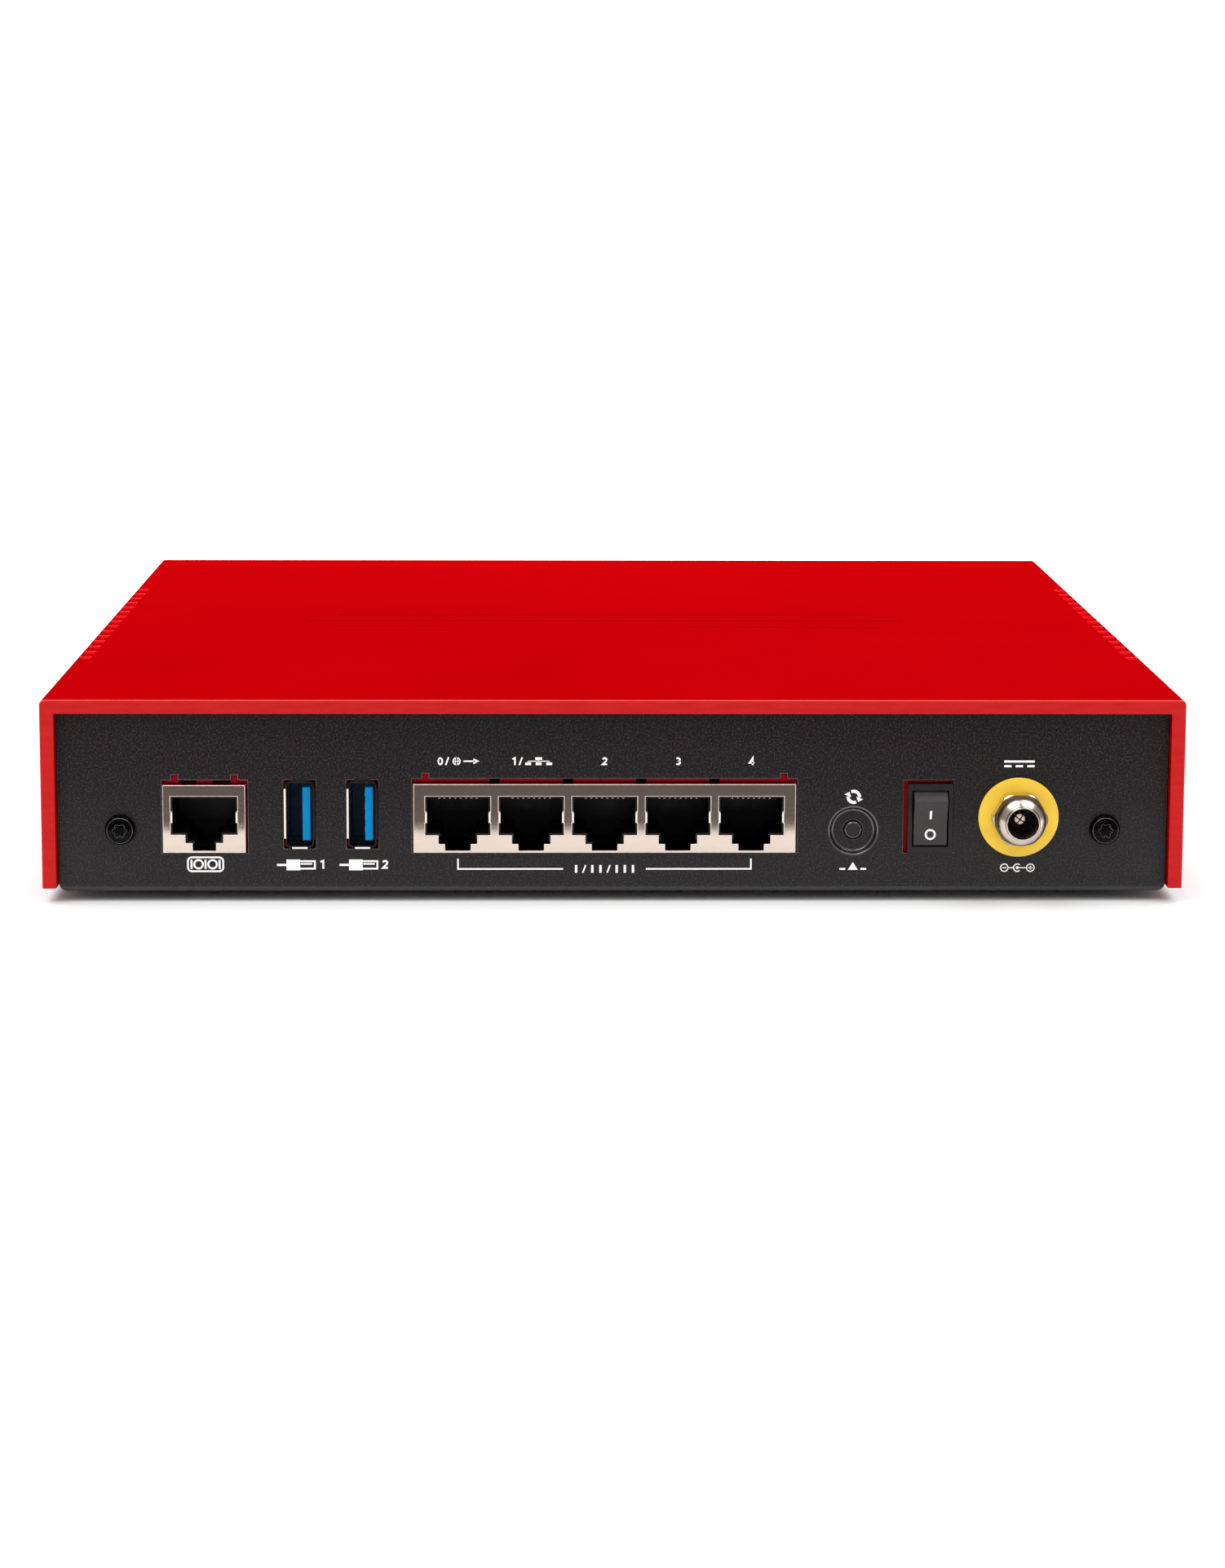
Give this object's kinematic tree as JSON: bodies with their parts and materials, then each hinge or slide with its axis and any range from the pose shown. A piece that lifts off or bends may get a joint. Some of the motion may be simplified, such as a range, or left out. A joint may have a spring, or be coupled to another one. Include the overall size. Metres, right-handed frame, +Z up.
{
  "type": "firewall appliance",
  "caption": "Desktop firewall appliance: moulded cover over a folded steel tray, with network, console and bus ports, a reset button, a rocker switch and a DC inlet.",
  "frame": {"origin": "on the ground, under the middle of the overall box", "axes": "+Z up, the connector side faces -Y, +X to the right when facing the connector side"},
  "size_m": [0.217, 0.21, 0.0394],
  "materials": {
    "cover_plastic": "semi-gloss moulded, slightly translucent",
    "tray_coat": "fine-textured powder coat",
    "black_plastic": "moulded, fine matt",
    "screw_black": "black oxide, semi-gloss",
    "rubber_black": "matt",
    "label_foil": "satin foil",
    "insulator_film": "translucent film",
    "brass_part": "turned",
    "zinc_steel": "zinc plated",
    "board_laminate": "solder mask",
    "tin_plate": "tin plated sheet, satin",
    "gold_plate": "gold flash",
    "blue_plastic": "moulded",
    "rocker_plastic": "moulded, satin",
    "jack_plastic": "moulded, satin",
    "washer_yellow": "satin",
    "nickel_plate": "polished nickel",
    "lead_red": "wire insulation",
    "lead_black": "wire insulation",
    "nylon_ivory": "nylon",
    "chip_package": "epoxy moulding",
    "pad_silicone": "soft silicone",
    "sink_aluminium": "black anodised",
    "can_aluminium": "bare can",
    "cell_steel": "nickel plated",
    "window_smoke": "smoked, polished",
    "pipe_clear": "clear",
    "led_lens": "diffused lens",
    "ceramic_part": "fired ceramic"
  },
  "bodies": {
    "case": {"top_cover": "cover_plastic", "chassis_tray": "tray_coat", "led_window": "window_smoke", "light_pipes": "pipe_clear", "rear_cover_screws": "screw_black", "rubber_foot_1": "rubber_black", "rubber_foot_2": "rubber_black", "rubber_foot_3": "rubber_black", "rubber_foot_4": "rubber_black", "rating_label": "label_foil", "insulator_sheet": "insulator_film", "board_standoffs": "brass_part", "board_screws": "zinc_steel", "main_board": "board_laminate", "console_jack_shield": "tin_plate", "console_jack_housing": "jack_plastic", "console_jack_contacts": "gold_plate", "lan_jack_shield": "tin_plate", "lan_jack_housing": "jack_plastic", "lan_jack_contacts": "gold_plate", "usb_1_shell": "tin_plate", "usb_1_insulator": "blue_plastic", "usb_1_contacts": "gold_plate", "usb_2_shell": "tin_plate", "usb_2_insulator": "blue_plastic", "usb_2_contacts": "gold_plate", "reset_switch": "black_plastic", "power_switch_body": "rocker_plastic", "power_switch_terminals": "tin_plate", "dc_washer": "washer_yellow", "dc_nut": "nickel_plate", "dc_jack_barrel": "nickel_plate", "dc_jack_insulator": "black_plastic", "dc_jack_pin": "nickel_plate", "dc_lead_positive": "lead_red", "dc_lead_negative": "lead_black", "dc_board_header": "nylon_ivory", "processor": "chip_package", "thermal_pad": "pad_silicone", "heatsink": "sink_aluminium", "heatsink_pins": "nylon_ivory", "memory_chips": "chip_package", "flash_chip": "chip_package", "switch_chip": "chip_package", "lan_transformers": "chip_package", "power_inductors": "chip_package", "electrolytic_capacitors": "can_aluminium", "crystals": "cell_steel", "coin_cell_holder": "black_plastic", "coin_cell": "cell_steel", "status_leds": "led_lens", "debug_header": "black_plastic", "chip_components": "ceramic_part"},
    "rocker": {"power_rocker": "rocker_plastic"},
    "reset": {"reset_button": "black_plastic"}
  },
  "joints": [
    {"name": "rocker_tilt", "type": "hinge", "parent": "case", "child": "rocker", "pos_m": [0.06035, -0.0957, 0.01625], "axis": [-1, 0, 0], "range_deg": [0, 24]},
    {"name": "reset_press", "type": "slide", "parent": "case", "child": "reset", "axis": [0, 1, 0], "range_m": [0, 0.0004], "stiffness_N_per_m": 1000, "springref_m": -0.0003}
  ]
}
